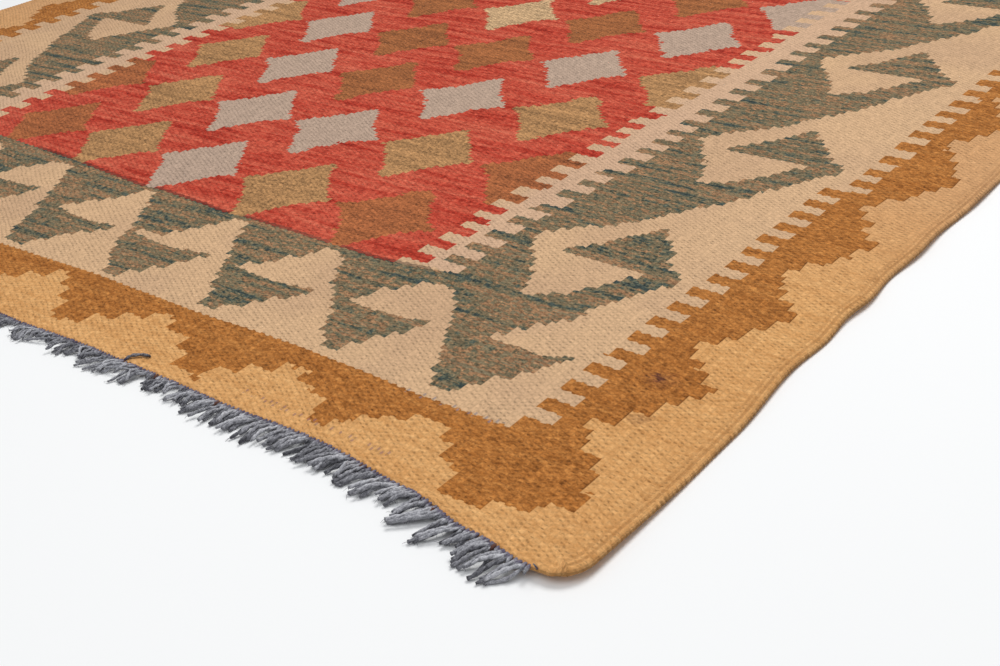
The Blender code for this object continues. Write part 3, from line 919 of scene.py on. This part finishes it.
# =============================================================================
# 6. The fringes
# =============================================================================
def fringe_wool():
    m = Wool("twisted_warp_wool")
    w, tip = m.flat("strand")            # round the strand, and mm back from its cut end
    one, root = m.flat("strand_of")      # a number for each strand, and mm from the weave
    spot = m.add("ShaderNodeTexCoord").outputs["Object"]
    cloud = m.noise(spot, 700.0, 3.0, 0.7) - 0.5
    broad = m.noise(spot, 45.0, 2.0, 0.5) - 0.5
    fibre = m.noise(m.vector(w * 5.0, root * 1.1, one * 37.0), 1.0, 3.0, 0.75) - 0.5
    # a strand's number shifts its tone: partly a random tone of its own, partly painted light, since the upper strands
    # carry higher numbers and so come out lighter than the lower ones
    tone = cloud * 0.70 + broad * 0.45 + fibre * 0.75 + (one.least(1.0) - 0.5) * 0.40 + 0.5
    colour = m.colours(tone, (
        (0.18, rgb(66, 66, 71)), (0.36, rgb(108, 108, 114)), (0.50, rgb(140, 140, 146)),
        (0.64, rgb(172, 172, 178)), (0.80, rgb(205, 205, 210))))
    violet = m.spread(root + cloud * 3.0, 0.8, 3.6, 0.72, 0.0)
    colour = m.blend(violet, colour, rgb(80, 66, 96))
    colour = m.blend(one > 1.2, colour, rgb(98, 66, 56))       # a few brown weft ends
    # painted shade: each strand darkens over its last mm or so towards its cut end
    cut = m.spread(tip, 0.1, 1.6, 0.40, 0.0)
    colour = m.blend(cut, colour, rgb(44, 43, 50))
    m.put(colour, m.shader.inputs["Base Color"])
    bump = m.add("ShaderNodeBump")
    bump.inputs["Strength"].default_value = 0.8
    bump.inputs["Distance"].default_value = 0.0004
    m.put(fibre * 0.8 + cloud * 0.8, bump.inputs["Height"])
    m.tree.links.new(bump.outputs[0], m.shader.inputs["Normal"])
    m.put(fibre.times_plus(0.16, 0.88), m.shader.inputs["Roughness"])
    m.shader.inputs["Specular IOR Level"].default_value = 0.12
    m.shader.inputs["Sheen Weight"].default_value = 0.12
    m.shader.inputs["Sheen Roughness"].default_value = 0.45
    return m.material


class Strands:
    """Many round strands joined in one mesh."""

    def __init__(self):
        self.verts, self.faces, self.round, self.own = [], [], [], []
        self.islands = []               # (length, girth, corners of its faces in mm)

    def tube(self, path, radii, sides, number=0.5, start=0.0, squash=1.0):
        """A round tube along the points, closed at both ends."""
        path = np.array(path, float)
        n = len(path)
        step = np.linalg.norm(np.diff(path, axis=0), axis=1)
        run = np.concatenate(([0.0], np.cumsum(step)))
        base = len(self.verts)
        for k, p in enumerate(path):
            t = path[min(n - 1, k + 1)] - path[max(0, k - 1)]
            t = t / (np.linalg.norm(t) + 1e-12)
            side = np.cross(t, (0.0, 0.0, 1.0))
            if np.linalg.norm(side) < 1e-3:
                side = np.cross(t, (1.0, 0.0, 0.0))
            side /= np.linalg.norm(side)
            up = np.cross(side, t) * squash
            for q in range(sides):
                a = 2 * math.pi * q / sides + start
                self.verts.append(tuple(p + (side * math.cos(a) + up * math.sin(a)) * radii[k]))
                self.round.append((q / sides, (run[-1] - run[k]) * 1000))
                self.own.append((number, run[k] * 1000))
        for k in range(n - 1):
            for q in range(sides):
                r = (q + 1) % sides
                self.faces.append((base + k * sides + q, base + k * sides + r,
                                   base + (k + 1) * sides + r, base + (k + 1) * sides + q))
        self.faces.append(tuple(base + q for q in reversed(range(sides))))
        self.faces.append(tuple(base + (n - 1) * sides + q for q in range(sides)))
        # the same skin laid open: a strip, and the two ends beyond it
        girth = 2000 * math.pi * max(radii)
        long = run * 1000
        spread = []
        for k in range(n - 1):
            for q in range(sides):
                a, b = girth * q / sides, girth * (q + 1) / sides
                spread += [(long[k], a), (long[k], b), (long[k + 1], b), (long[k + 1], a)]
        ring = 1000 * max(radii) * 0.8
        for place, turns in ((long[-1] + ring + 0.2, reversed(range(sides))),
                             (long[-1] + 3 * ring + 0.4, range(sides))):
            spread += [(place + ring * math.cos(2 * math.pi * q / sides),
                        girth / 2 + ring * math.sin(2 * math.pi * q / sides)) for q in turns]
        self.islands.append((long[-1] + 4 * ring + 0.4, girth, spread))

    def twisted(self, path, radius, number, sides=6, pitch=0.0105, start=0.0):
        """Two soft plies wound round each other along the points."""
        pts = np.array(path, float)
        n = len(pts)
        for ply in (0.0, math.pi):
            run, line, radii = 0.0, [], []
            for k, p in enumerate(pts):
                t = pts[min(n - 1, k + 1)] - pts[max(0, k - 1)]
                t = t / (np.linalg.norm(t) + 1e-12)
                side = np.cross(t, (0.0, 0.0, 1.0))
                side /= (np.linalg.norm(side) + 1e-9)
                up = np.cross(side, t)
                if k:
                    run += float(np.linalg.norm(p - pts[k - 1]))
                share = k / (n - 1)
                ang = 2 * math.pi * run / pitch + ply + start
                line.append(p + (side * math.cos(ang) + up * math.sin(ang)) * radius * 0.37)
                full = 0.80 + 0.20 * smooth(share / 0.25) if share < 0.85 \
                    else 1.0 - 0.22 * smooth((share - 0.85) / 0.15)
                radii.append(radius * 0.72 * full * (1.0 + 0.09 * math.sin(9.0 * share + 5.0 * start)))
            self.tube(line, radii, sides, number, start=ply)

    def laid_open(self):
        """Every strip placed on shelves in one square, none over another."""
        pad = 0.3
        order = sorted(range(len(self.islands)), key=lambda k: -self.islands[k][1])
        side = math.sqrt(sum((i[0] + pad) * (i[1] + pad) for i in self.islands)) * 1.02
        while True:
            spots, x, y, shelf = {}, pad, pad, 0.0
            for k in order:
                long, girth, _ = self.islands[k]
                if x + long + pad > side:
                    x, y, shelf = pad, y + shelf + pad, 0.0
                spots[k] = (x, y)
                x += long + pad
                shelf = max(shelf, girth)
            if y + shelf + pad <= side:
                break
            side *= 1.01
        out = []
        for k, (_, _, spread) in enumerate(self.islands):
            x, y = spots[k]
            out += [((x + a) / side, (y + b) / side) for a, b in spread]
        return np.array(out, np.float32)

    def made(self, name):
        mesh = bpy.data.meshes.new(name)
        mesh.from_pydata(self.verts, [], self.faces)
        corners = np.empty(len(mesh.loops), np.int32)
        mesh.loops.foreach_get("vertex_index", corners)
        for layer_name, values in (("strand", self.round), ("strand_of", self.own)):
            layer = mesh.uv_layers.new(name=layer_name)
            layer.uv.foreach_set("vector", np.array(values, np.float32)[corners].ravel())
        layer = mesh.uv_layers.new(name="OFBake")
        layer.uv.foreach_set("vector", self.laid_open().ravel())
        mesh.polygons.foreach_set("use_smooth", np.ones(len(mesh.polygons), bool))
        obj = bpy.data.objects.new(name, mesh)
        bpy.context.scene.collection.objects.link(obj)
        return obj


def weave_end(x, near):
    """(y, underside height) of the weave's end at x."""
    fx = min(1.0, max(0.0, (x - LEFT_X) / WIDE))
    px, py, low = on_rug(fx, 0.0 if near else 1.0)
    return py, low


def fringe(name, near, seed):
    """Loose warp ends in uneven tufts, two to four warps to a tuft."""
    dice = random.Random(seed)
    sign = -1.0 if near else 1.0
    s = Strands()
    mid_y = NEAR_Y if near else FAR_Y
    x0 = left_edge(mid_y) + 0.012
    x1 = right_edge(mid_y) - (0.0215 if near else 0.012)
    gap = UNIT_U * WARP
    x = x0
    drift = 0.0
    while x < x1:
        count = dice.choice((2, 3, 3, 4))
        wide = count * gap
        cx = x + wide / 2
        drift = 0.55 * drift + dice.uniform(-0.13, 0.13)
        # sideways for each length outwards, most at the corner
        lean = -0.36 + drift - 0.42 * smooth((x - x1 + 0.05) / 0.045)
        # the near end's fringe is thin and tangled away from the corner
        worn = 1.0 - smooth((x - 0.235) / 0.085) if near else 0.35 + 0.35 * math.sin(9.0 * x)
        lean += worn * dice.uniform(-0.55, 0.45)
        long = dice.uniform(0.0165, 0.0215) * (1.0 - 0.34 * worn * dice.uniform(0.4, 1.2))
        if dice.random() < 0.08:
            long *= 0.72
        swing = dice.uniform(-0.14, 0.12)
        rise = dice.uniform(0.0002, 0.0016)
        for k in range(2 * count):
            upper = k % 2
            if dice.random() < (0.36 + 0.28 * worn if upper else 0.12 * worn):
                continue
            rx = x + (k / 2 + 0.25) * gap + dice.uniform(-0.0005, 0.0005)
            if rx > x1:
                break
            y0, low = weave_end(rx, near)
            y0 -= sign * 0.0012
            radius = dice.uniform(0.00090, 0.00122) * (1.0 - 0.22 * worn)
            z0 = low + (0.0020 if upper else 0.0014)
            reach = long * dice.uniform(0.80, 1.12)
            gather = dice.uniform(0.10, 0.75)
            own = lean + dice.uniform(-0.15, 0.15) * (1.0 + 2.2 * worn)
            curl = dice.uniform(-0.0016, 0.0016) * (1.0 + 1.4 * worn)
            if worn > 0.5 and dice.random() < 0.07:
                own -= 1.5              # one lies along the weave
            rest = radius * 1.02 + upper * dice.uniform(0.0012, 0.0019)
            hump = rise + dice.uniform(0.0, 0.0009)
            pts = []
            n = 11
            for q in range(n):
                t = q / (n - 1)
                px = rx + (cx - rx) * gather * smooth(t * 1.5) + own * reach * t \
                    + swing * reach * t * t + curl * math.sin(t * 5.0) * t
                py = y0 + sign * reach * t * (1.0 - 0.06 * t)
                fall = smooth((t - 0.05) / 0.70)
                z = z0 * (1 - fall) + rest * fall + hump * math.sin(math.pi * smooth(t * 0.92))
                pts.append((px, py, max(radius * 1.02, z)))
            # upper strands get the higher numbers: painted light on the top layer, painted shade on the lower one
            number = dice.random() * 0.62 + (0.38 if upper else 0.0)
            s.twisted(pts, radius, number, start=dice.uniform(0, 6.28))
            # loose fibres that stand off the strand
            for _ in range(3):
                q = dice.randint(2, n - 1)
                hair = [np.array(pts[q])]
                d = np.array((dice.uniform(-1, 1), sign * dice.uniform(0.0, 1.3), dice.uniform(-0.1, 0.9)))
                d /= np.linalg.norm(d)
                for h in range(3):
                    d = d + np.array((dice.uniform(-.4, .4), dice.uniform(-.3, .3), -0.30))
                    d /= np.linalg.norm(d)
                    nxt = hair[-1] + d * dice.uniform(0.0007, 0.0012)
                    nxt[2] = max(0.0002, nxt[2])
                    hair.append(nxt)
                s.tube(hair, (0.00013, 0.00011, 0.00009, 0.00005), 3, number)
        x += wide
    # short bent stubs all along the weave's end, under and between the strands
    rx = x0
    while rx < x1 + 0.001:
        y0, low = weave_end(rx, near)
        side = dice.uniform(-0.0016, 0.0010)
        out = dice.uniform(0.0026, 0.0046)
        thick = dice.uniform(0.00085, 0.00115)
        brown = dice.random() < 0.035
        s.tube([(rx, y0 - sign * 0.0012, low + 0.0019), (rx + side * 0.3, y0 + sign * out * 0.4, low + 0.0021),
                (rx + side, y0 + sign * out, low + 0.0015)],
               (thick * 0.9, thick, thick * 0.6), 6, 1.5 if brown else dice.random())
        rx += gap * dice.uniform(0.62, 1.02)
    if near:
        # one warp end has fallen back over the cloth
        y0, low = weave_end(0.2255, near)
        top = low + BODY_THICK
        s.twisted([(0.2250, y0 + 0.0004, top + 0.0000), (0.2262, y0 + 0.0030, top + 0.0013),
                   (0.2278, y0 + 0.0055, top + 0.0016), (0.2296, y0 + 0.0076, top + 0.0014),
                   (0.2318, y0 + 0.0092, top + 0.0011), (0.2342, y0 + 0.0102, top + 0.0010),
                   (0.2366, y0 + 0.0106, top + 0.0010)], 0.00105, 0.12, start=1.0)
        # and the last one, short, stands up at the corner
        y0, low = weave_end(0.5395, near)
        s.tube([(0.5395, y0 + 0.0010, low + 0.0018), (0.5396, y0 + 0.0004, low + 0.0032),
                (0.5393, y0 - 0.0002, low + 0.0046), (0.5388, y0 - 0.0005, low + 0.0056)],
               (0.0005, 0.00048, 0.00042, 0.0003), 5, 0.2)
    return s.made(name)


# =============================================================================
# 7. Put together
# =============================================================================
cloth = woven_cloth()
cloth.data.materials.append(woven_wool())
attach(cloth, "root")
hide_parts("woven_body")

strand_wool = fringe_wool()
for name, node, near, seed in (("fringe_strands_near", "fringe_near", True, 11),
                               ("fringe_strands_far", "fringe_far", False, 23)):
    piece = fringe(name, near, seed)
    piece.data.materials.append(strand_wool)
    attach(piece, "root")
    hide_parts(node)

# =============================================================================
# 8. Floor, light and camera
# =============================================================================
floor_mesh = bpy.data.meshes.new("floor")
floor_mesh.from_pydata([(-6, -6, 0), (6, -6, 0), (6, 6, 0), (-6, 6, 0)], [], [(0, 1, 2, 3)])
floor = bpy.data.objects.new("floor", floor_mesh)
floor.location.z = -0.00005
bpy.context.scene.collection.objects.link(floor)
paint = bpy.data.materials.new("floor_paint")
paint.use_nodes = True
paint.node_tree.nodes["Principled BSDF"].inputs["Base Color"].default_value = (0.93, 0.935, 0.94, 1)
paint.node_tree.nodes["Principled BSDF"].inputs["Roughness"].default_value = 0.9
paint.node_tree.nodes["Principled BSDF"].inputs["Specular IOR Level"].default_value = 0.1
floor_mesh.materials.append(paint)

world = bpy.data.worlds.new("studio")
bpy.context.scene.world = world
world.use_nodes = True
world.node_tree.nodes["Background"].inputs[0].default_value = (0.97, 0.985, 1.0, 1)
world.node_tree.nodes["Background"].inputs[1].default_value = 0.375


def lamp(name, place, aim, size, power, colour):
    data = bpy.data.lights.new(name, "AREA")
    data.shape = "RECTANGLE"
    data.size, data.size_y = size
    data.energy = power
    data.color = colour
    obj = bpy.data.objects.new(name, data)
    obj.location = place
    obj.rotation_mode = "QUATERNION"
    obj.rotation_quaternion = (Vector(aim) - Vector(place)).to_track_quat("-Z", "Y")
    bpy.context.scene.collection.objects.link(obj)
    return obj


lamp("key", (0.3, 0.6, 2.1), (0.4, -1.5, 0.0), (1.2, 1.0), 35.5, (1.0, 0.99, 0.97))
lamp("fill", (0.4, -1.6, 2.2), (0.35, -1.0, 0.0), (1.8, 1.8), 16.2, (0.97, 0.985, 1.0))

camera_data = bpy.data.cameras.new("camera")
camera_data.sensor_fit = "HORIZONTAL"
camera_data.sensor_width = 36.0
camera_data.lens = 46.678
camera_data.clip_start, camera_data.clip_end = 0.01, 50.0
camera = bpy.data.objects.new("camera", camera_data)
bpy.context.scene.collection.objects.link(camera)
RIGHT, UP, AHEAD = Vector((0.76347, 0.63765, -0.10254)), Vector((-0.25886, 0.44758, 0.85596)), \
    Vector((-0.59170, 0.62695, -0.50678))
turn = Matrix((RIGHT, UP, -AHEAD)).transposed().to_4x4()
camera.matrix_world = Matrix.Translation((0.8294, -1.1288, 0.3745)) @ turn
bpy.context.scene.camera = camera
bpy.context.scene.view_settings.view_transform = "Standard"
